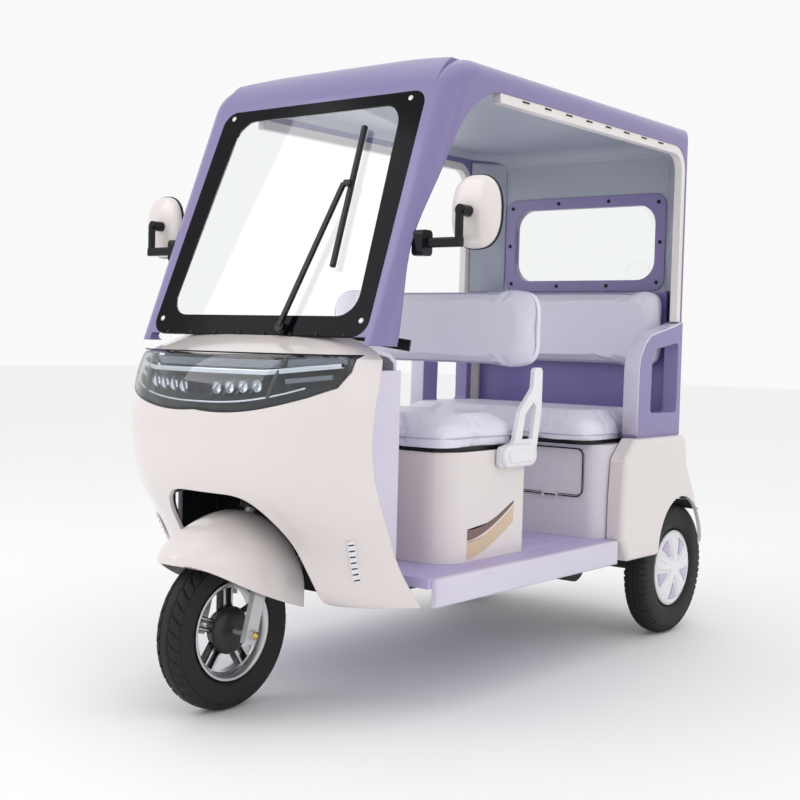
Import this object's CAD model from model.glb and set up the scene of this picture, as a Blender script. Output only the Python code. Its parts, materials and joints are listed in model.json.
import json
import math

import bmesh
import bpy
import numpy as np
from mathutils import Matrix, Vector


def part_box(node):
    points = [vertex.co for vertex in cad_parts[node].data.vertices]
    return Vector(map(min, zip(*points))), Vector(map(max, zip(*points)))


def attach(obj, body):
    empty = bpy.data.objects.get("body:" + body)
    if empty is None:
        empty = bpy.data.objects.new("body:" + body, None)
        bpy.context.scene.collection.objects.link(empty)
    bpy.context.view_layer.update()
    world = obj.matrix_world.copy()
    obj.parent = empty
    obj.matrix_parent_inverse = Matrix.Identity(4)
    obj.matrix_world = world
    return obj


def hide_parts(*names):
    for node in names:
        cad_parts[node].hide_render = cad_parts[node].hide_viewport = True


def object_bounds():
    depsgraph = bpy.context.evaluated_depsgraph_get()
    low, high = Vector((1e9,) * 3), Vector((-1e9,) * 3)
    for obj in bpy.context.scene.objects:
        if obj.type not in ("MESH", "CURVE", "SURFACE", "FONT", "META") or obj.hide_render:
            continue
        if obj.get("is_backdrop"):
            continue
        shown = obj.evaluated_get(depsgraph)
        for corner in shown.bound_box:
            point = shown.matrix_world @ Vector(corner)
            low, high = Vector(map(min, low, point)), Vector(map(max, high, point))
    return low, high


# Enclosed electric passenger tricycle: the finish, the soft parts and the small parts around the
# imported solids. Metres; the front faces -Y, the vehicle's left is +X, the floor is z = 0.
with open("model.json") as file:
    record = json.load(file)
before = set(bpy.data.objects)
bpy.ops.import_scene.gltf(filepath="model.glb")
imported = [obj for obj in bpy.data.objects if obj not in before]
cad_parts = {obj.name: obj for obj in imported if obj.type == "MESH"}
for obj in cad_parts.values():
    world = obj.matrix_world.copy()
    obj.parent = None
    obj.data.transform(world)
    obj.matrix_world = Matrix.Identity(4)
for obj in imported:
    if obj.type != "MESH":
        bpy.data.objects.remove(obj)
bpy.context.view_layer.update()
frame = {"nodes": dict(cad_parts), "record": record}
nodes = frame["nodes"]

SIDES = (("left", 1.0), ("right", -1.0))
FULL_TURN = 2 * math.pi


# --- making surfaces
SKIN_THICKNESS = 0.001


def skin(name, points, close_rows=False, close_columns=False, flip=False, weld=0.0):
    """A surface through a grid of points: neighbours in a row and in a column join into four-sided
    faces, the last row or column also to the first where the surface closes on itself. Points that
    lie within the weld distance become one, which closes poles."""
    rows, columns = points.shape[:2]
    index = np.arange(rows * columns).reshape(rows, columns)
    if close_rows:
        index = np.vstack([index, index[:1]])
    if close_columns:
        index = np.hstack([index, index[:, :1]])
    corners = [index[:-1, :-1], index[:-1, 1:], index[1:, 1:], index[1:, :-1]]
    faces = np.stack(corners[::-1] if flip else corners, axis=-1).reshape(-1, 4)
    mesh = bpy.data.meshes.new(name)
    mesh.from_pydata(points.reshape(-1, 3).tolist(), [], faces.tolist())
    if weld:
        merged = bmesh.new()
        merged.from_mesh(mesh)
        bmesh.ops.remove_doubles(merged, verts=merged.verts, dist=weld)
        bmesh.ops.recalc_face_normals(merged, faces=merged.faces)
        merged.to_mesh(mesh)
        merged.free()
    mesh.shade_smooth()
    piece = bpy.data.objects.new(name, mesh)
    bpy.context.scene.collection.objects.link(piece)
    return piece


def finish_piece(piece, material, body, replaces=()):
    """The piece takes its material, rides on its body and stands for the solids named."""
    piece.data.materials.clear()
    piece.data.materials.append(material)
    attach(piece, body)
    if replaces:
        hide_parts(*replaces)
    return piece


def unit(vectors):
    """Each vector over its own length."""
    return vectors / np.linalg.norm(vectors, axis=-1, keepdims=True)


def along(path, up):
    """Across and up directions at each point of a path: across is square to the path's run and to
    the up hint, up is square to both."""
    run = unit(np.gradient(path, axis=0))
    across = unit(np.cross(run, np.broadcast_to(np.asarray(up, float), run.shape)))
    return across, np.cross(across, run)


def carried(name, path, profile, up=(0, 0, 1), scale=None, closed=False, ends=True):
    """A profile carried along a path: point = path + across * profile x + up * profile y, times a
    scale at each station. Open paths close at both ends on their own middle."""
    across, upward = along(path, up)
    if closed:
        ring = np.vstack([path[-1:], path, path[:1]])
        across, upward = (side[1:-1] for side in along(ring, up))
    size = np.ones(len(path)) if scale is None else np.asarray(scale, float)
    x = profile[None, :, 0] * size[:, None]
    y = profile[None, :, 1] * size[:, None]
    points = path[:, None] + across[:, None] * x[..., None] + upward[:, None] * y[..., None]
    if ends and not closed:
        middle = np.broadcast_to(path[:, None], points.shape)
        points = np.concatenate([middle[:1], points, middle[-1:]])
    return skin(name, points, close_rows=closed, close_columns=True, weld=1e-6)


def round_profile(radius, count=16):
    """Points round a circle."""
    turn = np.arange(count) * FULL_TURN / count
    return np.stack([np.cos(turn), np.sin(turn)], -1) * radius


def box_profile(width, height, corner, steps=4):
    """Points round a rectangle with round corners: four quarter arcs, one at each corner."""
    quarter = np.linspace(0, math.pi / 2, steps)
    turn = (np.arange(4)[:, None] * math.pi / 2 + quarter).ravel()
    signs_x = np.repeat([1, -1, -1, 1], steps)
    signs_y = np.repeat([1, 1, -1, -1], steps)
    x = signs_x * (width / 2 - corner) + corner * np.cos(turn)
    y = signs_y * (height / 2 - corner) + corner * np.sin(turn)
    return np.stack([x, y], -1)


def turned(name, profile, centre, axis=(1, 0, 0), steps=96):
    """A profile of (distance along the axis, radius) turned about the axis through the centre."""
    axis = np.asarray(axis, float)
    first = unit(np.cross(axis, (0, 0, 1.0)) if abs(axis[2]) < 0.9 else np.cross(axis, (0, 1.0, 0)))
    second = np.cross(axis, first)
    turn = np.arange(steps) * FULL_TURN / steps
    spoke = np.cos(turn)[:, None] * first + np.sin(turn)[:, None] * second
    points = (
        np.asarray(centre, float)
        + profile[None, :, :1] * axis
        + spoke[:, None] * profile[None, :, 1:]
    )
    return skin(name, points, close_rows=True, weld=1e-6)


def inward(outline):
    """The direction square to a closed flat outline, pointing in, at each of its points."""
    run = unit(np.roll(outline, -1, 0) - np.roll(outline, 1, 0))
    area = np.sum(outline[:, 0] * np.roll(outline[:, 1], -1) - np.roll(outline[:, 0], -1) * outline[:, 1])
    return np.stack([-run[:, 1], run[:, 0]], -1) * np.sign(area)


def plate(name, outline, origin, across, upward, depth, edge, hole=None, steps=5):
    """A flat plate with a rounded front edge: rings of the outline, drawn in by edge * (1 - sin) as
    the depth goes out by edge * (1 - cos), closed on the middle or on the edge of a hole."""
    across, upward = np.asarray(across, float), np.asarray(upward, float)
    out = np.cross(across, upward)
    turn = np.linspace(0, math.pi / 2, steps)
    rounded = [(edge * (1 - math.cos(t)), depth - edge * (1 - math.sin(t))) for t in turn]
    draw = [(2 * edge, 0.0), (0.0, 0.0), *rounded, (2 * edge, depth)]
    rings = [outline + inward(outline) * drawn for drawn, _ in draw]
    heights = [height for _, height in draw]
    if hole is None:
        middle = np.broadcast_to(outline.mean(0), outline.shape)
        rings, heights = [middle, *rings, middle], [0.0, *heights, depth]
    else:
        back = [hole - inward(hole) * drawn for drawn, _ in draw]
        rings, heights = rings + back[::-1], heights + heights[::-1]
    flat = np.array(rings)
    points = (
        np.asarray(origin, float)
        + flat[..., :1] * across
        + flat[..., 1:] * upward
        + np.array(heights)[:, None, None] * out
    )
    piece = skin(name, points, close_rows=hole is not None, close_columns=True, weld=1e-6)
    piece.data.set_sharp_from_angle(angle=math.radians(50))
    return piece


# --- finishes
def graph(name):
    """A new material with an empty node graph; returns it with its nodes, links and shader."""
    material = bpy.data.materials.new(name)
    material.use_nodes = True
    tree = material.node_tree
    tree.nodes.clear()
    out = tree.nodes.new("ShaderNodeOutputMaterial")
    shader = tree.nodes.new("ShaderNodeBsdfPrincipled")
    tree.links.new(shader.outputs["BSDF"], out.inputs["Surface"])
    return material, tree, shader


def noise(tree, scale, detail=4.0, stretch=(1, 1, 1)):
    """Noise in the vehicle's own frame."""
    place = tree.nodes.new("ShaderNodeTexCoord")
    mapping = tree.nodes.new("ShaderNodeMapping")
    mapping.inputs["Scale"].default_value = stretch
    texture = tree.nodes.new("ShaderNodeTexNoise")
    texture.inputs["Scale"].default_value = scale
    texture.inputs["Detail"].default_value = detail
    tree.links.new(place.outputs["Object"], mapping.inputs["Vector"])
    tree.links.new(mapping.outputs["Vector"], texture.inputs["Vector"])
    return texture.outputs["Fac"]


def between(tree, factor, low, high, first, second):
    """A colour that goes from first to second as the factor goes from low to high."""
    ramp = tree.nodes.new("ShaderNodeValToRGB")
    ramp.color_ramp.elements[0].position = low
    ramp.color_ramp.elements[0].color = (*first, 1)
    ramp.color_ramp.elements[1].position = high
    ramp.color_ramp.elements[1].color = (*second, 1)
    tree.links.new(factor, ramp.inputs["Fac"])
    return ramp.outputs["Color"]


def surface_finish(
    name, colour, roughness, metallic=0.0, coat=0.0, grain=900.0, depth=0.00004, vary=0.04,
    edge=0.0, patch=3.0, sheen=0.0, specular=0.5, rough_vary=0.06,
):
    """A moulded, painted or metal finish: slow colour drift, uneven roughness, fine grain, and
    edges rounded by the edge radius."""
    material, tree, shader = graph(name)
    colour = np.asarray(colour, float)
    drift = between(
        tree, noise(tree, patch), 0.3, 0.7, colour * (1 - vary), np.minimum(colour * (1 + vary), 1)
    )
    tree.links.new(drift, shader.inputs["Base Color"])
    rough = tree.nodes.new("ShaderNodeMapRange")
    rough.inputs["To Min"].default_value = max(roughness - rough_vary, 0.02)
    rough.inputs["To Max"].default_value = roughness + rough_vary
    tree.links.new(noise(tree, 40.0), rough.inputs["Value"])
    tree.links.new(rough.outputs["Result"], shader.inputs["Roughness"])
    shader.inputs["Metallic"].default_value = metallic
    shader.inputs["Coat Weight"].default_value = coat
    shader.inputs["Coat Roughness"].default_value = 0.08
    shader.inputs["Sheen Weight"].default_value = sheen
    shader.inputs["Specular IOR Level"].default_value = specular
    bump = tree.nodes.new("ShaderNodeBump")
    bump.inputs["Strength"].default_value = 0.6
    bump.inputs["Distance"].default_value = depth
    tree.links.new(noise(tree, grain), bump.inputs["Height"])
    if edge:
        bevel = tree.nodes.new("ShaderNodeBevel")
        bevel.samples = 6
        bevel.inputs["Radius"].default_value = edge
        tree.links.new(bevel.outputs["Normal"], bump.inputs["Normal"])
    tree.links.new(bump.outputs["Normal"], shader.inputs["Normal"])
    return material


CREAM = (0.76, 0.70, 0.69)
PURPLE = (0.205, 0.17, 0.365)
LAVENDER = (0.67, 0.63, 0.76)

shell_cream = surface_finish("shell_cream", CREAM, 0.22, coat=0.6, edge=0.004, vary=0.015, depth=0.00001)
cab_purple = surface_finish("cab_purple", PURPLE, 0.30, coat=0.3, edge=0.004, vary=0.02, depth=0.00001)
lavender_plastic = surface_finish("lavender_plastic", LAVENDER, 0.38, coat=0.2, edge=0.003)
floor_purple = surface_finish("floor_purple", (0.50, 0.44, 0.70), 0.5, edge=0.0015, depth=0.0001)
black_plastic = surface_finish("black_plastic", (0.006, 0.007, 0.009), 0.22, edge=0.002, specular=0.25)
trim_cream = surface_finish("trim_cream", (0.78, 0.74, 0.72), 0.35, coat=0.2, edge=0.002)
white_plastic = surface_finish("white_plastic", (0.80, 0.79, 0.82), 0.25, coat=0.4, edge=0.002)
tail_red = surface_finish("tail_red", (0.45, 0.01, 0.01), 0.15, coat=1.0, edge=0.002)
frame_black = surface_finish("frame_black", (0.015, 0.015, 0.016), 0.45, edge=0.002, depth=0.0001)
fork_silver = surface_finish("fork_silver", (0.56, 0.57, 0.58), 0.32, metallic=0.6, edge=0.002)
rim_silver = surface_finish("rim_silver", (0.62, 0.63, 0.64), 0.3, metallic=0.9, edge=0.0015)
tyre_rubber = surface_finish(
    "tyre_rubber", (0.009, 0.0095, 0.010), 0.60, depth=0.0002, vary=0.2, specular=0.35
)
motor_metal = surface_finish("motor_metal", (0.05, 0.05, 0.052), 0.5, metallic=0.4, depth=0.0003)
battery_case = surface_finish("battery_case", (0.02, 0.02, 0.022), 0.5, edge=0.002)
lamp_body = surface_finish("lamp_body", (0.012, 0.015, 0.020), 0.2, specular=0.3, edge=0.002)
seat_lavender = surface_finish(
    "seat_lavender", (0.76, 0.745, 0.85), 0.42, coat=0.1, depth=0.00012, vary=0.015
)


def clear_finish(name, colour, roughness, ior, alpha_tint=1.0):
    """Clear moulded or pressed glass, faintly tinted, with fine scratches in its roughness."""
    material, tree, shader = graph(name)
    tint = between(tree, noise(tree, 2.0), 0.3, 0.7, colour, np.asarray(colour) * alpha_tint)
    tree.links.new(tint, shader.inputs["Base Color"])
    shader.inputs["Transmission Weight"].default_value = 1.0
    shader.inputs["IOR"].default_value = ior
    rough = tree.nodes.new("ShaderNodeMapRange")
    rough.inputs["To Min"].default_value = roughness
    rough.inputs["To Max"].default_value = roughness + 0.03
    tree.links.new(noise(tree, 25.0), rough.inputs["Value"])
    tree.links.new(rough.outputs["Result"], shader.inputs["Roughness"])
    return material


screen_glass = clear_finish("screen_glass", (0.93, 0.95, 0.95), 0.0, 1.45)
lamp_glass = clear_finish("lamp_glass", (0.86, 0.90, 0.94), 0.0, 1.45)

FINISHES = {
    "shell_cream": shell_cream, "cab_purple": cab_purple, "roof_purple": cab_purple,
    "seat_lavender": seat_lavender, "lavender_plastic": lavender_plastic,
    "floor_purple": floor_purple, "black_plastic": black_plastic, "trim_cream": trim_cream,
    "white_plastic": white_plastic, "screen_glass": screen_glass, "lamp_glass": lamp_glass,
    "tail_red": tail_red, "frame_black": frame_black, "fork_silver": fork_silver,
    "rim_silver": rim_silver, "tyre_rubber": tyre_rubber, "motor_metal": motor_metal,
    "battery_case": battery_case, "lamp_body": lamp_body,
}
OWN_FINISH = {
    "rear_seat_base": surface_finish("base_grey", (0.66, 0.625, 0.68), 0.36, coat=0.2, edge=0.003, vary=0.02),
    "under_seat_door": surface_finish(
        "door_grey", (0.68, 0.645, 0.70), 0.36, coat=0.2, edge=0.002, vary=0.02
    ),
    "armrest_left": surface_finish(
        "armrest_purple", (0.24, 0.20, 0.41), 0.32, coat=0.3, edge=0.006, vary=0.02
    ),
    "bulkhead": surface_finish("wall_purple", (0.20, 0.165, 0.42), 0.34, coat=0.2, edge=0.004, vary=0.02),
    "rear_window_bezel": surface_finish(
        "bezel_purple", (0.27, 0.23, 0.45), 0.34, coat=0.2, edge=0.003, vary=0.02
    ),
}
OWN_FINISH["armrest_right"] = OWN_FINISH["armrest_left"]
for part in frame["record"]["subparts"]:
    mesh = nodes[part["node"]].data
    mesh.materials.clear()
    mesh.materials.append(OWN_FINISH.get(part["node"], FINISHES[part["material_slot"]]))

# --- tyres
def tyre(name, node, body, tread, grooves):
    """A tyre as a closed ring: the section is a rounded box, x = half width * sin^0.7 and radius =
    middle + half height * cos^0.55 over one turn, carried round the hub. Where the groove pattern
    says so, the crown sinks by the tread depth."""
    low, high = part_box(node)
    centre = np.array((low + high) / 2)
    outer, half_width = (high[2] - low[2]) / 2, (high[0] - low[0]) / 2
    middle, half_height = (outer + RIM_EDGE) / 2, (outer - RIM_EDGE) / 2
    phase = np.linspace(-math.pi, math.pi, TYRE_COLUMNS, endpoint=False)
    sine, cosine = np.sin(phase), np.cos(phase)
    across = half_width * np.sign(sine) * np.abs(sine) ** 0.7
    radius = middle + half_height * np.sign(cosine) * np.abs(cosine) ** 0.55
    turn = np.arange(TYRE_ROWS) * FULL_TURN / TYRE_ROWS
    side = across / half_width
    sunk = grooves(turn[:, None], side[None], (radius - middle)[None] / half_height)
    reach = radius[None] - tread * sunk
    points = np.stack(
        [
            centre[0] + np.broadcast_to(across, reach.shape),
            centre[1] + reach * np.sin(turn)[:, None],
            centre[2] + reach * np.cos(turn)[:, None],
        ],
        -1,
    )
    ring = skin(name, points, close_rows=True, close_columns=True, flip=True)
    return finish_piece(ring, tyre_rubber, body, (node,))


def band(value, middle, half, soft):
    """One inside a band about the middle, zero outside it, with a soft edge."""
    return np.clip((half - np.abs(value - middle)) / soft + 0.5, 0, 1)


def front_grooves(turn, side, height):
    """Two zigzag grooves round the crown, and curved sipes that run from them to the shoulder."""
    zigzag = 0.30 + 0.10 * np.abs(((turn * FRONT_BLOCKS / FULL_TURN) % 1) - 0.5) * 2
    round_groove = band(np.abs(side), zigzag, 0.035, 0.03)
    lean = (turn * FRONT_BLOCKS / FULL_TURN + 1.1 * np.abs(side) ** 1.5 + 0.25 * (side > 0)) % 1
    cross_groove = band(lean, 0.5, 0.07, 0.06) * band(np.abs(side), 0.66, 0.30, 0.05)
    shoulder = band(height, 0.55, 0.03, 0.03)
    crown = np.clip((height - 0.5) / 0.1, 0, 1)
    block_phase = (2 * turn * FRONT_BLOCKS / FULL_TURN) % 1
    dashes = 0.35 * band(height, 0.18, 0.03, 0.03) * band(block_phase, 0.5, 0.3, 0.1)
    side_marks = np.maximum(0.5 * shoulder, dashes)
    return np.maximum(np.maximum(round_groove, cross_groove) * crown, side_marks)


def rear_grooves(turn, side, height):
    """Three round grooves and short square-cut grooves over the shoulder."""
    rounds = band(np.abs(side), 0.42, 0.04, 0.03) + band(side, 0.0, 0.04, 0.03)
    step = (turn * REAR_BLOCKS / FULL_TURN + 0.5 * (side > 0)) % 1
    cuts = band(step, 0.5, 0.16, 0.08) * np.clip((np.abs(side) - 0.5) / 0.06, 0, 1)
    fine = band((2 * step) % 1, 0.5, 0.05, 0.05) * band(np.abs(side), 0.2, 0.14, 0.05)
    crown = np.clip((height - 0.12) / 0.1, 0, 1)
    bead = 0.35 * band(height, -0.25, 0.03, 0.03)
    return np.maximum(np.maximum(rounds, 0.6 * fine) * (height > 0.7), np.maximum(cuts * crown, bead))


RIM_EDGE = 0.131
TYRE_ROWS, TYRE_COLUMNS = 900, 88
TREAD_DEPTH = 0.0075
FRONT_BLOCKS, REAR_BLOCKS = 36, 60
tyre("front_tyre_skin", "front_tyre", "front_wheel", TREAD_DEPTH, front_grooves)
for name, side in SIDES:
    tyre(f"rear_tyre_skin_{name}", f"rear_tyre_{name}", f"rear_wheel_{name}", TREAD_DEPTH, rear_grooves)

# --- front wheel's casting and drum
front_low, front_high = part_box("front_tyre")
front_hub = np.array((front_low + front_high) / 2)
RIM_HALF = 0.033
SPOKE_COUNT = 5
SPOKE_SPREAD = 0.013

rim_section = np.array([
    (-RIM_HALF, RIM_EDGE), (-RIM_HALF - 0.003, RIM_EDGE + 0.003), (-RIM_HALF - 0.003, RIM_EDGE - 0.004),
    (-RIM_HALF + 0.004, RIM_EDGE - 0.011), (-0.016, RIM_EDGE - 0.013), (-0.012, RIM_EDGE - 0.018),
    (0.012, RIM_EDGE - 0.018), (0.016, RIM_EDGE - 0.013), (RIM_HALF - 0.004, RIM_EDGE - 0.011),
    (RIM_HALF + 0.003, RIM_EDGE - 0.004), (RIM_HALF + 0.003, RIM_EDGE + 0.003), (RIM_HALF, RIM_EDGE),
])


def closed_ring(name, section, centre, axis=(1, 0, 0), steps=128):
    """A closed section of (distance along the axis, radius) turned into a ring."""
    return turned(name, np.vstack([section, section[:1]]), centre, axis, steps)


def round_edges(piece, width, segments=2, angle=40):
    """Rounds the edges sharper than the angle."""
    bevel = piece.modifiers.new("rounded", "BEVEL")
    bevel.width, bevel.segments = width, segments
    bevel.limit_method, bevel.angle_limit = "ANGLE", math.radians(angle)
    bevel.harden_normals = True
    return piece


def wheel_place(centre, turn, out, radial, sideways):
    """A point on a wheel: out along the axle, radial along the spoke at the turn, sideways round."""
    centre = np.asarray(centre, float)
    turn = np.asarray(turn, float)
    y = radial * np.sin(turn) + sideways * np.cos(turn)
    z = radial * np.cos(turn) - sideways * np.sin(turn)
    return np.stack(np.broadcast_arrays(centre[0] + out, centre[1] + y, centre[2] + z), -1)


def join(name, parts):
    """Several meshes as one object."""
    with bpy.context.temp_override(
        active_object=parts[0], selected_editable_objects=parts, selected_objects=parts
    ):
        bpy.ops.object.join()
    parts[0].name = name
    parts[0].data.name = name
    return parts[0]


front_rim_ring = closed_ring("front_rim_ring", rim_section, front_hub)
finish_piece(round_edges(front_rim_ring, 0.001), rim_silver, "front_wheel", ("front_rim",))

spokes, faces_of_spokes = [], []
for index in range(SPOKE_COUNT):
    turn = FULL_TURN * index / SPOKE_COUNT
    # one double spoke is a hairpin: out along one bar, round the end, back along the other
    t = np.linspace(-1, 1, 25)
    radial = 0.050 + 0.066 * (1 - np.abs(t) ** 6)
    sideways = SPOKE_SPREAD * np.sign(t) * np.minimum(np.abs(t) * 1.9, 1) * (1.25 - 0.25 * np.abs(t))
    path = wheel_place(front_hub, turn, 0.0, radial, sideways)
    spokes.append(carried(f"spoke_{index}", path, box_profile(0.011, 0.026, 0.003), up=(1, 0, 0)))
    front_path = wheel_place(front_hub, turn, 0.0145, radial, sideways)
    faces_of_spokes.append(
        carried(f"spoke_face_{index}", front_path, box_profile(0.006, 0.003, 0.001), up=(1, 0, 0))
    )
finish_piece(join("front_spokes", spokes), black_plastic, "front_wheel")
finish_piece(join("front_spoke_faces", faces_of_spokes), rim_silver, "front_wheel")

drum_section = np.array([
    (-0.038, 0.0), (-0.038, 0.030), (-0.030, 0.034), (-0.014, 0.036), (-0.012, 0.052), (0.012, 0.056),
    (0.014, 0.062), (0.018, 0.064), (0.024, 0.064), (0.030, 0.060), (0.036, 0.052), (0.040, 0.030),
    (0.0405, 0.0),
])
drum = round_edges(turned("front_drum", drum_section, front_hub), 0.0015)
finish_piece(drum, frame_black, "front_wheel")

# --- seats
def powered(value, power):
    """The value's sign times its size to a power."""
    return np.sign(value) * np.abs(value) ** power


def pillow(name, low, high, flat_axis, plan, edge, rows=48, columns=144):
    """A crowned closed form, thin along one axis: across = a cos(v)^edge cos(u)^plan and
    b cos(v)^edge sin(u)^plan, thickness = c sin(v)^edge, u once round and v from pole to pole."""
    low, high = np.asarray(low, float), np.asarray(high, float)
    centre, half = (low + high) / 2, (high - low) / 2
    u = np.arange(columns) * FULL_TURN / columns
    v = np.linspace(-math.pi / 2, math.pi / 2, rows)
    ring = powered(np.cos(v), edge)[:, None]
    first, second = [axis for axis in range(3) if axis != flat_axis]
    points = np.zeros((rows, columns, 3))
    points[..., first] = ring * powered(np.cos(u), plan)
    points[..., second] = ring * powered(np.sin(u), plan)
    points[..., flat_axis] = np.broadcast_to(powered(np.sin(v), edge)[:, None], (rows, columns))
    return skin(name, centre + points * half, close_columns=True, weld=1e-5)


def coordinates(mesh):
    """All the mesh's points as one array."""
    flat = np.empty(len(mesh.vertices) * 3)
    mesh.vertices.foreach_get("co", flat)
    return flat.reshape(-1, 3)


def settled(piece):
    """The piece's mesh as its modifiers leave it."""
    return bpy.data.meshes.new_from_object(piece.evaluated_get(bpy.context.evaluated_depsgraph_get()))


SEAM_POINTS = 220
SEAM_EASE = 3


def swell(piece, low, high, flat_axis):
    """Blows the piece up as sewn cloth under pressure, moves no point farther than the cap, then fits
    its plan to the box from low to high: p' = low + (p - least) * (high - low) / (most - least)."""
    remesh = piece.modifiers.new("voxels", "REMESH")
    remesh.mode, remesh.voxel_size = "VOXEL", SEAT_VOXEL
    mesh = settled(piece)
    piece.modifiers.clear()
    piece.data = mesh
    start = coordinates(mesh)
    cloth = piece.modifiers.new("cloth", "CLOTH")
    cloth.settings.quality = 4
    cloth.settings.use_pressure = True
    cloth.settings.uniform_pressure_force = SEAT_PRESSURE
    cloth.settings.effector_weights.gravity = 0
    cloth.point_cache.frame_end = SEAT_FRAMES
    for frame_number in range(1, SEAT_FRAMES + 1):
        bpy.context.scene.frame_set(frame_number)
    blown = settled(piece)
    move = coordinates(blown) - start
    bpy.data.meshes.remove(blown)
    piece.modifiers.clear()
    length = np.linalg.norm(move, axis=1, keepdims=True)
    move = move * np.minimum(1, SEAT_CAP / np.maximum(length, 1e-9))
    mesh.vertices.foreach_set("co", (start + move).ravel())
    bpy.context.scene.frame_set(1)
    shape = coordinates(mesh)
    least, most = shape.min(0), shape.max(0)
    fitted = low + (shape - least) * (high - low) / (most - least)
    fitted[:, flat_axis] = shape[:, flat_axis]
    mesh.vertices.foreach_set("co", np.clip(fitted, low, high).ravel())
    mesh.shade_smooth()
    smooth = piece.modifiers.new("rounder", "SUBSURF")
    smooth.levels = smooth.render_levels = 1
    return piece


def seat(node, body, flat_axis, plan, edge):
    """A padded piece in the room its solid holds, started smaller by what it will swell."""
    low, high = (np.array(corner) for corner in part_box(node))
    inner_low, inner_high = low + SEAT_SHRINK, high - SEAT_SHRINK
    if flat_axis == 2:
        inner_low[2] = low[2] - SEAT_SUNK
    piece = swell(pillow(f"{node}_pad", inner_low, inner_high, flat_axis, plan, edge), low, high, flat_axis)
    finish_piece(piece, seat_lavender, body, (node,))
    return piece


def rounded_loop(half_x, half_y, corner, steps=14):
    """A closed rounded rectangle in the plane, evenly turned at its corners."""
    return box_profile(2 * half_x, 2 * half_y, corner, steps)


SEAT_VOXEL = 0.006
SEAT_PRESSURE = 4.0
SEAT_FRAMES = 20
SEAT_CAP = 0.022
SEAT_SHRINK = np.array([0.008, 0.008, 0.008])
SEAT_SUNK = 0.045
seat("driver_cushion", "driver_seat_lid", 2, 0.26, 0.42)
seat("driver_backrest", "driver_backrest", 1, 0.36, 0.50)
seat("bench_cushion", "body", 2, 0.22, 0.40)
seat("bench_backrest", "body", 1, 0.30, 0.46)

PIPING = 0.0022
PIPING_PROUD = 0.0020


def piping(name, node, body, flat_axis, inset, corner, lift, sign):
    """A thin cord sewn round a cushion: a rounded loop round the solid's box, each point of it drawn
    to the nearest skin of the settled pad at that level and the whole run then eased."""
    low, high = (np.array(point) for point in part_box(node))
    first, second = [axis for axis in range(3) if axis != flat_axis]
    half = (high - low) / 2 - inset
    loop = rounded_loop(half[first], half[second], corner)
    closed = np.concatenate([loop, loop[:1]])
    along = np.concatenate([[0], np.cumsum(np.linalg.norm(np.diff(closed, axis=0), axis=1))])
    even = np.linspace(0, along[-1], SEAM_POINTS, endpoint=False)
    middle = (low + high)[[first, second]] / 2
    loop = middle + np.stack([np.interp(even, along, closed[:, axis]) for axis in (0, 1)], -1)
    level = (high if sign > 0 else low)[flat_axis] - sign * lift
    skin_points = coordinates(bpy.data.objects[f"{node}_pad"].data)
    skin_points = skin_points[np.abs(skin_points[:, flat_axis] - level) < SEAT_VOXEL][:, [first, second]]
    gap = np.linalg.norm(loop[:, None] - skin_points[None], axis=2)
    touch = skin_points[gap.argmin(1)]
    wrapped = np.concatenate([touch[-SEAM_EASE:], touch, touch[:SEAM_EASE]])
    evener = np.ones(2 * SEAM_EASE + 1) / (2 * SEAM_EASE + 1)
    path = np.full((SEAM_POINTS, 3), level)
    path[:, first] = np.convolve(wrapped[:, 0], evener, "valid")
    path[:, second] = np.convolve(wrapped[:, 1], evener, "valid")
    outward = unit(np.cross(np.roll(path, -1, axis=0) - np.roll(path, 1, axis=0), np.eye(3)[flat_axis]))
    path += PIPING_PROUD * outward * np.sign((outward * (path - (low + high) / 2)).sum())
    cord = carried(name, path, round_profile(PIPING, 8), up=np.eye(3)[flat_axis], closed=True)
    return finish_piece(cord, seat_seam, body)


seat_seam = surface_finish("seat_seam", (0.50, 0.47, 0.63), 0.5, vary=0.02)
piping("driver_cushion_piping", "driver_cushion", "driver_seat_lid", 2, 0.004, 0.06, 0.066, 1)
piping("driver_backrest_piping", "driver_backrest", "driver_backrest", 1, 0.004, 0.06, 0.030, -1)
piping("bench_cushion_piping", "bench_cushion", "body", 2, 0.004, 0.05, 0.078, 1)
piping("bench_backrest_piping", "bench_backrest", "body", 1, 0.004, 0.06, 0.034, -1)


def seal_loop(name, node, body, flat_axis, grow, corner, at, width, height, ends):
    """A black rubber strip that runs once round a solid's box at one level."""
    low, high = (np.array(point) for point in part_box(node))
    first, second = [axis for axis in range(3) if axis != flat_axis]
    half = (high - low) / 2 + grow
    loop = rounded_loop(half[first], half[second], corner)
    path = np.zeros((len(loop), 3))
    path[:, first] = (low + high)[first] / 2 + loop[:, 0]
    path[:, second] = (low + high)[second] / 2 + loop[:, 1]
    path[:, flat_axis] = at
    strip = carried(name, path, box_profile(width, height, ends), up=np.eye(3)[flat_axis], closed=True)
    return finish_piece(strip, black_plastic, body)


bench_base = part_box("bench_cushion")[0][2]
seal_loop("bench_seal", "bench_cushion", "body", 2, -0.004, 0.045, bench_base + 0.007, 0.006, 0.014, 0.002)
door_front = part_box("under_seat_door")[0][1]
seal_loop("door_seal", "under_seat_door", "body", 1, 0.0015, 0.024, door_front + 0.004, 0.004, 0.003, 0.001)

# --- backrest hinge covers
def stadium(half_length, half_height, count=24):
    """A closed outline with two half-round ends."""
    turn = np.linspace(-math.pi / 2, math.pi / 2, count)
    reach = half_length - half_height
    right = np.stack([reach + half_height * np.cos(turn), half_height * np.sin(turn)], -1)
    return np.vstack([right, -right])


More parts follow.
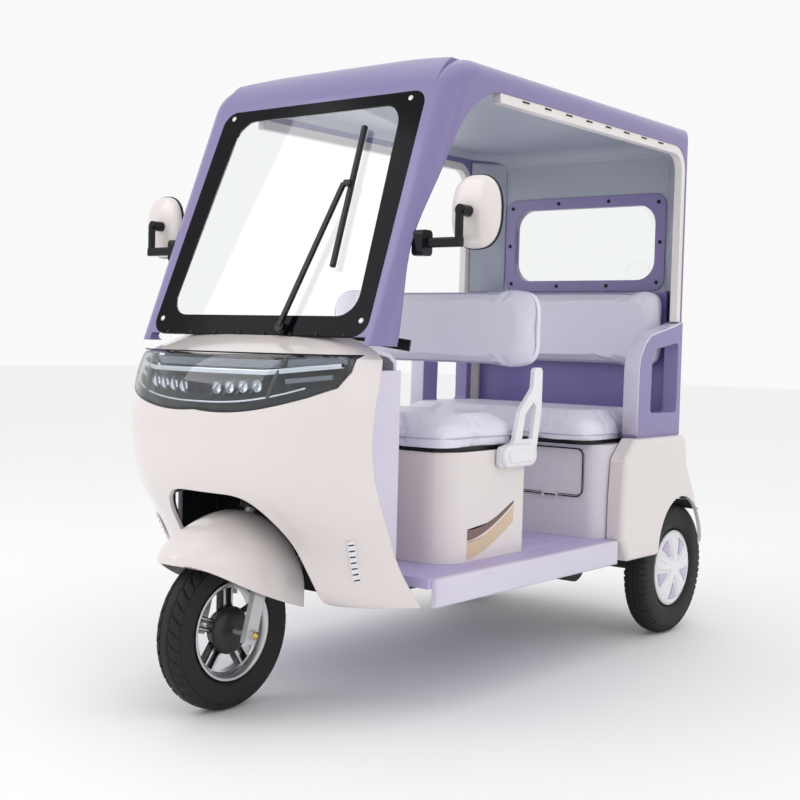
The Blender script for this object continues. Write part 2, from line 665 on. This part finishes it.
_, bracket_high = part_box("backrest_brackets")
HINGE_COVER = (0.090, 0.034)
HINGE_PLACE = (-0.079, 0.666)
for name, side in SIDES:
    origin = (side * bracket_high[0], *HINGE_PLACE)
    across = (0, side, 0)
    cover = plate(f"hinge_cover_{name}", stadium(*HINGE_COVER), origin, across, (0, 0, 1), 0.014, 0.010)
    finish_piece(cover, white_plastic, "driver_backrest")
    cap = stadium(HINGE_COVER[0] - 0.022, HINGE_COVER[1] - 0.014)
    top = (side * (bracket_high[0] + 0.013), *HINGE_PLACE)
    raised = plate(f"hinge_cap_{name}", cap, top, across, (0, 0, 1), 0.005, 0.004)
    finish_piece(raised, white_plastic, "driver_backrest")

# --- rear wheel covers
COVER_SPOKES = 5
COVER_RELIEF = 0.006
INSET_SINK = 0.0035
inset_lavender = surface_finish("inset_lavender", (0.52, 0.48, 0.64), 0.35, coat=0.3)


def spoke_mask(radius, turn):
    """One on the five spokes, the hub and the rim of a wheel cover, zero in the windows between."""
    phase = (turn * COVER_SPOKES / FULL_TURN) % 1
    away = np.abs(phase - 0.5) * 2
    spoke = np.clip((away - (0.36 + 0.25 * (radius - 0.03) / 0.1)) / 0.10, 0, 1)
    groove = 0.45 * band(away, 0.97, 0.05, 0.05) * np.clip((radius - 0.045) / 0.02, 0, 1)
    hub = np.clip((0.036 - radius) / 0.006, 0, 1)
    rim = np.clip((radius - 0.114) / 0.004, 0, 1)
    return np.maximum(np.maximum(spoke - groove, hub), rim)


for name, side in SIDES:
    low, high = (np.array(point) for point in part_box(f"wheel_cover_{name}"))
    centre = (low + high) / 2
    radii = np.concatenate([np.linspace(0, 0.125, 60), [0.128, 0.129, 0.129, 0.126]])[:, None]
    turns = (np.arange(300) * FULL_TURN / 300)[None]
    crown = (high[0] - low[0]) * np.clip(1 - (radii / 0.13) ** 6, 0, 1) * 0.9
    reach = crown - COVER_RELIEF * (1 - spoke_mask(radii, turns))
    reach[-2:] = 0.001
    out = (low[0] if side > 0 else high[0]) + side * np.broadcast_to(reach, (len(radii), 300))
    disc = skin(
        f"wheel_cover_disc_{name}",
        np.stack([
            out, centre[1] + radii * np.sin(turns) + 0 * out, centre[2] + radii * np.cos(turns) + 0 * out,
        ], -1),
        close_columns=True, weld=1e-6,
    )
    finish_piece(disc, white_plastic, f"rear_wheel_{name}", (f"wheel_cover_{name}",))
    windows = []
    for index in range(COVER_SPOKES):
        across = np.linspace(-1, 1, 14)[None]
        rise = np.linspace(0, 1, 14)[:, None]
        radius = 0.054 + 0.055 * rise
        turn = FULL_TURN * (index + 0.5) / COVER_SPOKES + across * (0.10 + 0.14 * rise)
        face = low[0] if side > 0 else high[0]
        lift = (high[0] - low[0]) * 0.9 * (1 - (radius / 0.13) ** 6) - INSET_SINK
        points = np.stack(np.broadcast_arrays(
            face + side * lift + 0 * turn, centre[1] + radius * np.sin(turn),
            centre[2] + radius * np.cos(turn),
        ), -1)
        windows.append(skin(f"window_{name}_{index}", points, flip=side < 0))
    inset = join(f"wheel_cover_insets_{name}", windows)
    thick = inset.modifiers.new("thickness", "SOLIDIFY")
    thick.thickness = 0.0015
    finish_piece(inset, inset_lavender, f"rear_wheel_{name}")

# --- headlamp
COWL_NOSE = 1.0
COWL_CORNER = 0.3
COWL_SIDE = 0.447
AXLE_Y = -0.871
NOSE_CURVE = np.polyfit((0.800, 0.880, 0.945), (-0.125, -0.113, -0.085), 2)


def cowl_face(x, z, depth=0.0):
    """The cowl's face at lamp height, seen from above: a slow nose arc that meets a tighter corner
    arc, moved back by the depth. Height shifts the nose along a parabola."""
    nose = AXLE_Y + np.polyval(NOSE_CURVE, z) + depth
    corner_x = COWL_SIDE - COWL_CORNER
    reach = COWL_NOSE - COWL_CORNER
    corner_y = nose + COWL_NOSE - math.sqrt(reach**2 - corner_x**2)
    size = np.abs(x)
    slow = nose + COWL_NOSE - np.sqrt(COWL_NOSE**2 - size**2)
    tight = corner_y - np.sqrt(np.maximum(COWL_CORNER**2 - (size - corner_x) ** 2, 0))
    return np.where(size < COWL_NOSE * corner_x / reach, slow, tight)


def lamp_strip(name, x, z, depth, width, height, material, taper=None):
    """A bar carried along the lamp's face behind the lens."""
    path = np.stack([x, cowl_face(x, z, depth), z], -1)
    strip = carried(name, path, box_profile(width, height, min(width, height) / 3), scale=taper)
    return finish_piece(strip, material, "body")


chrome = surface_finish("lamp_chrome", (0.80, 0.81, 0.83), 0.08, metallic=1.0, vary=0.01, rough_vary=0.02)
lamp_black = surface_finish("lamp_black", (0.012, 0.014, 0.018), 0.12, coat=0.8)
lamp_smoke = surface_finish("lamp_smoke", (0.22, 0.24, 0.27), 0.10, metallic=0.7, coat=0.6)
DIVIDER_X = 0.235
LAMP_END = 0.372
span = np.linspace(-LAMP_END, LAMP_END, 90)
rise = 0.022 * np.clip((np.abs(span) - 0.20) / 0.17, 0, 1) ** 1.2
lamp_strip("lamp_bar", span, 0.905 + rise, 0.012, 0.008, 0.014, chrome)
lamp_strip("lamp_upper_panel", span, 0.926 + 0.6 * rise, 0.024, 0.006, 0.022, lamp_smoke)
low_span = np.linspace(-0.31, 0.31, 80)
low_line = 0.825 + 0.045 * (np.abs(low_span) / 0.31) ** 2.6
lamp_strip("lamp_lower_line", low_span, low_line, 0.014, 0.004, 0.005, chrome)
for name, side in SIDES:
    outer = side * np.linspace(DIVIDER_X + 0.022, 0.355, 30)
    outer_z = 0.884 + 0.014 * np.linspace(0, 1, 30)
    lamp_strip(f"lamp_outer_strip_{name}", outer, outer_z, 0.020, 0.005, 0.013, lamp_smoke)
    slant = np.linspace(0, 1, 20)
    divider_x = side * (DIVIDER_X - 0.012 + 0.022 * slant)
    lamp_strip(
        f"lamp_divider_{name}", divider_x, 0.842 + 0.100 * slant, 0.013, 0.012, 0.010, lamp_black
    )
    for index in range(4):
        middle = side * (0.062 + 0.042 * index)
        z = 0.862 + 0.003 * index
        y = float(cowl_face(np.array(middle), np.array(z), 0.026))
        bowl_profile = np.array([(0.0, 0.0), (0.002, 0.008), (0.008, 0.014), (0.010, 0.016), (0.012, 0.016)])
        bowl = turned(f"lamp_bowl_{name}_{index}", bowl_profile, (middle, y, z), (0, -1.0, 0), 40)
        finish_piece(bowl, chrome, "body")
        slant_x = middle + side * np.linspace(-0.017, 0.013, 12)
        slant_z = z + np.linspace(-0.019, 0.022, 12)
        lamp_strip(
            f"lamp_fin_{name}_{index}", slant_x, slant_z, 0.015, 0.007, 0.003, lamp_smoke
        )
edge_span = np.linspace(-0.386, 0.386, 90)
lamp_strip(
    "lamp_seal", edge_span, 0.9535 + 0 * edge_span, -0.0005, 0.003, 0.004, black_plastic
)

# --- cowl: dark lining, side vents
arch_heights = np.array([0.300, 0.316, 0.400, 0.490, 0.536, 0.568, 0.586, 0.588, 0.78])
arch_halves = np.array([0.262, 0.251, 0.228, 0.208, 0.184, 0.154, 0.075, 0.0, 0.0])
well_black = surface_finish("well_black", (0.012, 0.012, 0.013), 0.7, specular=0.25)
NOSE_HEIGHTS = (0.295, 0.400, 0.500, 0.587, 0.690, 0.800)
NOSE_REACHES = (0.095, 0.040, -0.023, -0.085, -0.120, -0.125)
for name, side in SIDES:
    z = np.linspace(0.302, 0.780, 120)[:, None]
    start = np.interp(z, arch_heights, arch_halves) + 0.003
    x = start + (0.345 - start) * np.linspace(0, 1, 40)[None]
    nose = np.interp(z, NOSE_HEIGHTS, NOSE_REACHES)
    depth = 0.019 + nose - np.polyval(NOSE_CURVE, z)
    y = cowl_face(x, z + 0 * x, depth + 0 * x) + 0.002
    lining = skin(f"cowl_lining_{name}", np.stack([side * x, y, z + 0 * x], -1), flip=side > 0)
    thick = lining.modifiers.new("thickness", "SOLIDIFY")
    thick.thickness = SKIN_THICKNESS
    finish_piece(lining, well_black, "body")

# --- lining of the cab
lining_grey = surface_finish("lining_grey", (0.46, 0.49, 0.56), 0.45, vary=0.03, depth=0.0001)
CEILING_Z = 1.7275
CEILING_HALF = 0.4345
REAR_WALL_Y = 0.9465
CORNER_Y = 0.830
CORNER_X = 0.3457
REAR_ROUND = 0.052
SIDE_ROUND = 0.027
run = np.linspace(-0.42, REAR_WALL_Y - REAR_ROUND, 70)
quarter = np.linspace(0, math.pi / 2, 10)[1:]
ceiling_y = np.concatenate([run, REAR_WALL_Y - REAR_ROUND + REAR_ROUND * np.sin(quarter)])
ceiling_drop = np.concatenate([0 * run, REAR_ROUND * (1 - np.cos(quarter))])
ceiling_half = np.interp(ceiling_y, (CORNER_Y, REAR_WALL_Y), (CEILING_HALF, CORNER_X))
bend = np.linspace(0, math.pi / 2, 8)
edge_in = SIDE_ROUND * (1 - np.sin(bend[::-1]))
edge_down = SIDE_ROUND * (1 - np.cos(bend[::-1]))
flat_x = np.linspace(-1, 1, 60)
flat_half = ceiling_half[:, None] - SIDE_ROUND
x = np.concatenate([
    -ceiling_half[:, None] + edge_in[None], flat_half * flat_x[None, 1:-1],
    ceiling_half[:, None] - edge_in[None, ::-1],
], 1)
down = np.concatenate([edge_down, 0 * flat_x[1:-1], edge_down[::-1]])[None] + ceiling_drop[:, None]
wave = 0.0012 * (1 + np.sin(9 * x + 5 * ceiling_y[:, None]) * np.sin(21 * ceiling_y[:, None] - 4 * x))
ceiling = skin("ceiling_lining", np.stack([x, ceiling_y[:, None] + 0 * x, CEILING_Z - down - wave], -1))
thick = ceiling.modifiers.new("thickness", "SOLIDIFY")
thick.thickness = 0.0008
finish_piece(ceiling, lining_grey, "body")

SHELF_Z = 1.192
for name, side in SIDES:
    t = np.linspace(0, 1, 20)[None]
    z = np.linspace(SHELF_Z, 1.690, 60)[:, None]
    wall_x = side * (CEILING_HALF + (CORNER_X - CEILING_HALF) * t)
    wall_y = CORNER_Y + (REAR_WALL_Y - CORNER_Y) * t
    ripple = 0.0012 * (1 + np.sin(30 * z + 6 * t))
    points = np.stack([wall_x - side * ripple, wall_y - ripple, z + 0 * t], -1)
    corner = skin(f"corner_lining_{name}", points, flip=side < 0)
    thick = corner.modifiers.new("thickness", "SOLIDIFY")
    thick.thickness = 0.0008
    finish_piece(corner, lining_grey, "body")

window_low, window_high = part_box("rear_window_glass")
window_mid = (window_low[2] + window_high[2]) / 2
wall_half = (1.676 - SHELF_Z) / 2
wall_mid = (1.676 + SHELF_Z) / 2
wall = plate(
    "rear_wall_lining", rounded_loop(CORNER_X - 0.001, wall_half, 0.004, 16), (0, REAR_WALL_Y, wall_mid),
    (1, 0, 0), (0, 0, 1), 0.001, 0.0004,
    hole=rounded_loop(window_high[0], (window_high[2] - window_low[2]) / 2, 0.07, 16)
        + (0, window_mid - wall_mid),
)
finish_piece(wall, lining_grey, "body")

# --- bolts
def bolts(name, places, axis, radius, height, material, body="body"):
    """Small domed heads at several places, one object."""
    section = np.array([(0, radius), (0.5 * height, radius), (0.9 * height, 0.7 * radius), (height, 0)])
    heads = [turned(f"{name}_{i}", section, place, axis, 20) for i, place in enumerate(places)]
    return finish_piece(join(name, heads), material, body)


bezel_low, bezel_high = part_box("rear_window_bezel")
bolt_x, bolt_z = bezel_high[0] - 0.020, (bezel_high[2] - bezel_low[2]) / 2 - 0.020
bezel_mid = (bezel_high[2] + bezel_low[2]) / 2
bolt_spots = [
    (i * bolt_x * 0.97, j * bolt_z * 0.93) for i in (-1, 1) for j in (-1, 1)
] + [
    (-bolt_x, 0), (bolt_x, 0), (-bolt_x / 3, bolt_z), (bolt_x / 3, bolt_z), (-bolt_x / 3,
    -bolt_z), (bolt_x / 3, -bolt_z)
]
bolts(
    "bezel_bolts", [(i, bezel_low[1], bezel_mid + j) for i, j in bolt_spots], (0, -1.0, 0), 0.007, 0.003,
    black_plastic,
)

# the windscreen leans back about the run of its own plane
GLASS_FOOT = np.array((0.0, -0.792, 1.000))
GLASS_UP = unit(np.array((0.0, 0.262, 0.663)))
GLASS_OUT = np.array((0.0, -GLASS_UP[2], GLASS_UP[1]))
screen_bolts = [
    GLASS_FOOT + np.array((x, 0, 0)) + GLASS_UP * up
    for x, up in ((0.327, 0.691), (0.372, 0.045), (-0.340, 0.691), (-0.372, 0.045))
]
bolts("screen_bolts", screen_bolts, GLASS_OUT, 0.008, 0.003, rim_silver)
clips = [GLASS_FOOT + np.array((x, 0, 0)) + GLASS_UP * 0.004 for x in np.linspace(-0.33, 0.33, 8)]
bolts("screen_clips", clips, GLASS_OUT, 0.006, 0.004, black_plastic)

# --- mirrors
MIRROR_POWER = 0.80
mirror_silver = surface_finish(
    "mirror_silver", (0.85, 0.86, 0.87), 0.03, metallic=1.0, vary=0.0, rough_vary=0.01
)
for name, side in SIDES:
    low, high = (np.array(point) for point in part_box(f"mirror_head_{name}"))
    centre, half = (low + high) / 2, (high - low) / 2
    turn = (np.arange(96) * FULL_TURN / 96)[None]
    t = np.linspace(0, 1, 24)[:, None]
    oval_x = half[0] * powered(np.cos(turn), MIRROR_POWER)
    oval_z = half[2] * powered(np.sin(turn), MIRROR_POWER)
    size = np.sin(t * math.pi / 2) ** 0.8
    back = high[1] - 0.006 - (2 * half[1] - 0.006) * np.cos(t * math.pi / 2) ** 0.6
    points = np.stack([centre[0] + size * oval_x, back + 0 * oval_x, centre[2] + size * oval_z], -1)
    shell = skin(f"mirror_shell_{name}", points, close_columns=True, flip=True, weld=1e-6)
    thick = shell.modifiers.new("thickness", "SOLIDIFY")
    thick.thickness = 0.002
    finish_piece(shell, shell_cream, "body", (f"mirror_head_{name}",))
    path = np.stack([centre[0] + oval_x[0], high[1] - 0.004 + 0 * oval_x[0], centre[2] + oval_z[0]], -1)
    rim = carried(f"mirror_rim_{name}", path, box_profile(0.005, 0.008, 0.002), up=(0, 1, 0), closed=True)
    finish_piece(rim, black_plastic, "body")
    outline = np.stack([0.96 * oval_x[0], 0.96 * oval_z[0]], -1)
    face = plate(
        f"mirror_face_{name}", outline[:, ::-1], (centre[0], high[1] - 0.004, centre[2]),
        (0, 0, 1), (1, 0, 0), 0.002, 0.001,
    )
    finish_piece(face, mirror_silver, "body")

# --- small trims
for name, side in SIDES:
    dashes = []
    for index in range(8):
        y = -0.20 + 0.118 * index
        path = np.stack([np.full(6, side * 0.4625), y + np.linspace(0, 0.034, 6), np.full(6, 1.674)], -1)
        dashes.append(carried(f"dash_{name}_{index}", path, box_profile(0.003, 0.005, 0.001)))
    finish_piece(join(f"trim_dashes_{name}", dashes), black_plastic, "body")
    rail_y = np.array((0.529, 0.531, 0.540, 0.572, 0.610, 0.660, 0.720, 0.780, 0.832))
    rail_z = np.array((0.705, 0.920, 0.962, 1.006, 1.034, 1.045, 1.057, 1.070, 1.083))
    rail = np.stack([np.full(9, side * 0.444), rail_y, rail_z], -1)
    strip = carried(f"armrest_rim_{name}", rail, box_profile(0.056, 0.006, 0.0025), up=(0, -0.7, 0.7))
    finish_piece(strip, lavender_plastic, "body")

# stripe on the driver's seat box: two swept bands, brown over gold
band_brown = surface_finish("stripe_brown", (0.19, 0.11, 0.10), 0.35)
band_gold = surface_finish("stripe_gold", (0.68, 0.52, 0.36), 0.35)
for name, side in SIDES:
    t = np.linspace(0, 1, 30)
    for label, lower, upper, material in (
        ("brown", 0.060, 0.092, band_brown), ("gold", 0.005, 0.056, band_gold),
    ):
        along_y = -0.300 + 0.235 * t
        curve = 0.115 * t**1.5
        top = np.stack([along_y, 0.374 + upper * (1 - 0.55 * t) + curve], -1)
        stripe_reach = 0.98 if label == "brown" else 0.80
        base = np.stack([along_y, 0.374 + lower * (1 - 0.4 * t) + curve * stripe_reach], -1)
        outline = np.vstack([top, base[::-1]])
        middle = outline.mean(0)
        origin = (side * 0.3841, middle[0], middle[1])
        flat = (outline - middle) * (side, 1)
        stripe = plate(
            f"stripe_{label}_{name}", flat, origin, (0, side, 0), (0, 0, 1), 0.0006, 0.0002, steps=3
        )
        finish_piece(stripe, material, "body")


# --- windscreen
SCREEN_FOOT_HALF, SCREEN_HEAD_HALF, SCREEN_LENGTH = 0.401, 0.377, 0.7129
SCREEN_CORNER = 0.046
CLEAR_FOOT_HALF, CLEAR_HEAD_HALF = 0.347, 0.302
CLEAR_LOW, CLEAR_HIGH = 0.058, 0.676
CLEAR_CORNER = 0.065
SCREEN_DEPTH = 0.008


def round_frame(foot_half, head_half, low, high, corner, steps=16):
    """A closed outline with leaning sides and round corners: a rounded rectangle whose half width
    goes evenly from the foot's to the head's as it rises."""
    loop = rounded_loop(foot_half, (high - low) / 2, corner, steps)
    height = loop[:, 1] + (high + low) / 2
    share = (height - low) / (high - low)
    return np.stack([loop[:, 0] * (1 + share * (head_half / foot_half - 1)), height], -1)


screen_outline = round_frame(SCREEN_FOOT_HALF, SCREEN_HEAD_HALF, 0.0, SCREEN_LENGTH, SCREEN_CORNER)
clear_edge = round_frame(CLEAR_FOOT_HALF, CLEAR_HEAD_HALF, CLEAR_LOW, CLEAR_HIGH, CLEAR_CORNER)
screen_back = GLASS_FOOT - GLASS_OUT * SCREEN_DEPTH
screen_black = surface_finish(
    "screen_black", (0.003, 0.0035, 0.005), 0.10, specular=0.08, vary=0.0, rough_vary=0.02
)
border = plate(
    "screen_frame", screen_outline, screen_back, (1, 0, 0), GLASS_UP, SCREEN_DEPTH, 0.0015, hole=clear_edge,
)
finish_piece(border, screen_black, "body", ("windscreen_border",))
pane = plate(
    "screen_pane", clear_edge, screen_back + GLASS_OUT * 0.0015, (1, 0, 0), GLASS_UP,
    SCREEN_DEPTH - 0.003, 0.0005,
)
finish_piece(pane, screen_glass, "body", ("windscreen_glass",))

# --- wheel wells
WELL_RADIUS = 0.241
WELL_INNER, WELL_OUTER = 0.352, 0.484
WELL_FRONT, WELL_BACK = math.radians(-72), math.radians(36)
for name, side in SIDES:
    low, high = (np.array(point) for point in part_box(f"rear_tyre_{name}"))
    hub = (low + high) / 2
    turn = np.linspace(WELL_FRONT, WELL_BACK, 60)[:, None]
    x = side * np.linspace(WELL_INNER, WELL_OUTER, 8)[None]
    y = hub[1] + WELL_RADIUS * np.sin(turn) + 0 * x
    z = hub[2] + WELL_RADIUS * np.cos(turn) + 0 * x
    well = skin(f"rear_well_{name}", np.stack([x + 0 * y, y, z], -1), flip=side > 0)
    thick = well.modifiers.new("thickness", "SOLIDIFY")
    thick.thickness = SKIN_THICKNESS
    finish_piece(well, well_black, "body")

# --- cowl side vents
VENT_SLOTS = 7
VENT_FRONT_Y, VENT_RUN = -0.790, 0.053
VENT_TOP_Z, VENT_DROP = 0.482, 0.116


def cowl_side(y, z):
    """The cowl's rounded corner at a station and height: its x and the outward direction."""
    half = np.interp(z, (0.295, 0.400, 0.500, 0.587), (0.484, 0.480, 0.472, 0.458))
    nose = AXLE_Y + np.interp(z, NOSE_HEIGHTS, NOSE_REACHES)
    corner_x = half - COWL_CORNER
    corner_y = nose + COWL_NOSE - np.sqrt((COWL_NOSE - COWL_CORNER) ** 2 - corner_x**2)
    x = corner_x + np.sqrt(COWL_CORNER**2 - (y - corner_y) ** 2)
    return x, unit(np.stack([x - corner_x, y - corner_y, 0.08 + 0 * x], -1))


for name, side in SIDES:
    mirrored = np.array((side, 1.0, 1.0))
    t = np.linspace(0, 1, 24)
    y, z = VENT_FRONT_Y + VENT_RUN * t, VENT_TOP_Z - VENT_DROP * t
    x, out = cowl_side(y, z)
    spine = (np.stack([x, y, z], -1) + 0.0005 * out) * mirrored
    up = out.mean(0) * mirrored
    frame_strip = carried(f"vent_frame_{name}", spine, box_profile(0.021, 0.006, 0.002), up=up)
    finish_piece(frame_strip, white_plastic, "body")
    slots = []
    for index in range(VENT_SLOTS):
        at = 0.08 + 0.84 * index / (VENT_SLOTS - 1)
        middle = np.array([np.interp(at, t, (spine + 0.003 * out * mirrored)[:, axis]) for axis in range(3)])
        run_to = unit(np.cross(unit(spine[-1] - spine[0]), up))
        path = middle + np.linspace(-0.0075, 0.0075, 5)[:, None] * run_to
        slots.append(carried(f"vent_slot_{name}_{index}", path, box_profile(0.0075, 0.0012, 0.0005), up=up))
    finish_piece(join(f"vent_slots_{name}", slots), black_plastic, "body")

# --- splash panel, axle nuts
SPLASH_CORNERS = np.array([(-0.341, -0.715), (-0.332, -0.588), (0.332, -0.588), (0.341, -0.715)])
SPLASH_LOW, SPLASH_HIGH = 0.378, 0.785
splash_steps = np.linspace(0, len(SPLASH_CORNERS) - 1, 91)
corner_numbers = np.arange(len(SPLASH_CORNERS))
panel_x = np.interp(splash_steps, corner_numbers, SPLASH_CORNERS[:, 0])
panel_y = np.interp(splash_steps, corner_numbers, SPLASH_CORNERS[:, 1])
panel_z = np.linspace(SPLASH_LOW, SPLASH_HIGH, 20)
splash = skin("splash_panel", np.stack(np.broadcast_arrays(panel_x, panel_y, panel_z[:, None]), -1))
thick = splash.modifiers.new("thickness", "SOLIDIFY")
thick.thickness = SKIN_THICKNESS
finish_piece(splash, well_black, "body")

NUT_SEAT = 0.1145
nut_gold = surface_finish("nut_gold", (0.60, 0.42, 0.16), 0.25, metallic=1.0)
nut_section = np.array(
    [(0, 0.0105), (0.007, 0.0105), (0.008, 0.0095), (0.008, 0.0060), (0.013, 0.0055), (0.014, 0.0)]
)
for name, side in SIDES:
    nut = turned(f"axle_nut_{name}", nut_section, front_hub + (side * NUT_SEAT, 0, 0), (side, 0, 0), 6)
    finish_piece(nut, nut_gold, "steering")

# --- stage, lights and camera
FLOOR_HALF = 30.0
floor_points = np.array([[(-1, -1, 0), (-1, 1, 0)], [(1, -1, 0), (1, 1, 0)]], float) * FLOOR_HALF
stage_floor = skin("stage_floor", floor_points)
stage_finish, _, stage_shader = graph("stage_white")
stage_shader.inputs["Base Color"].default_value = (0.92, 0.92, 0.925, 1)
stage_shader.inputs["Roughness"].default_value = 0.7
stage_floor.data.materials.append(stage_finish)
stage_floor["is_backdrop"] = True

world = bpy.data.worlds.new("studio")
world.use_nodes = True
world.node_tree.nodes["Background"].inputs["Color"].default_value = (1, 1, 1, 1)
world.node_tree.nodes["Background"].inputs["Strength"].default_value = 0.95
bpy.context.scene.world = world


def softbox(name, place, target, width, height, power):
    """A large soft lamp that faces the target."""
    lamp = bpy.data.lights.new(name, "AREA")
    lamp.shape = "RECTANGLE"
    lamp.size, lamp.size_y, lamp.energy = width, height, power
    holder = bpy.data.objects.new(name, lamp)
    place, target = np.asarray(place, float), np.asarray(target, float)
    back = unit(place - target)
    across = unit(np.cross((0, 0, 1.0), back))
    upward = np.cross(back, across)
    rows = [[across[i], upward[i], back[i], place[i]] for i in range(3)]
    holder.matrix_world = Matrix([*rows, [0, 0, 0, 1]])
    bpy.context.scene.collection.objects.link(holder)
    return holder


softbox("key_light", (-2.6, -4.0, 3.6), (0, -0.3, 0.8), 3.0, 3.0, 45)
softbox("side_light", (4.5, -1.0, 2.6), (0, 0, 0.8), 3.0, 3.0, 14)
softbox("top_light", (0, 0.3, 4.6), (0, 0.3001, 0), 4.0, 4.0, 22)

# camera: place, heading, dip below the horizon and roll of the studio view
CAMERA_PLACE = (2.4706, -3.2773, 0.9916)
CAMERA_HEADING = math.radians(38.176)
CAMERA_DIP = math.radians(2.5825)
CAMERA_ROLL = math.radians(1.5063)
CAMERA_LENS = 58.06
CAMERA_SENSOR = 36.0
camera_back = np.array([
    math.sin(CAMERA_HEADING) * math.cos(CAMERA_DIP),
    -math.cos(CAMERA_HEADING) * math.cos(CAMERA_DIP),
    math.sin(CAMERA_DIP),
])
level = np.array([math.cos(CAMERA_HEADING), math.sin(CAMERA_HEADING), 0])
camera_up = np.cross(camera_back, level)
rolled = level * math.cos(CAMERA_ROLL) + camera_up * math.sin(CAMERA_ROLL)
camera_up = camera_up * math.cos(CAMERA_ROLL) - level * math.sin(CAMERA_ROLL)
camera = bpy.data.objects.new("camera", bpy.data.cameras.new("camera"))
camera.data.lens = CAMERA_LENS
camera.data.sensor_width = CAMERA_SENSOR
camera_rows = [
    [rolled[i], camera_up[i], camera_back[i], CAMERA_PLACE[i]] for i in range(3)
]
camera.matrix_world = Matrix([*camera_rows, [0, 0, 0, 1]])
bpy.context.scene.collection.objects.link(camera)
bpy.context.scene.camera = camera
bpy.context.scene.view_settings.view_transform = "Standard"

low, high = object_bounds()
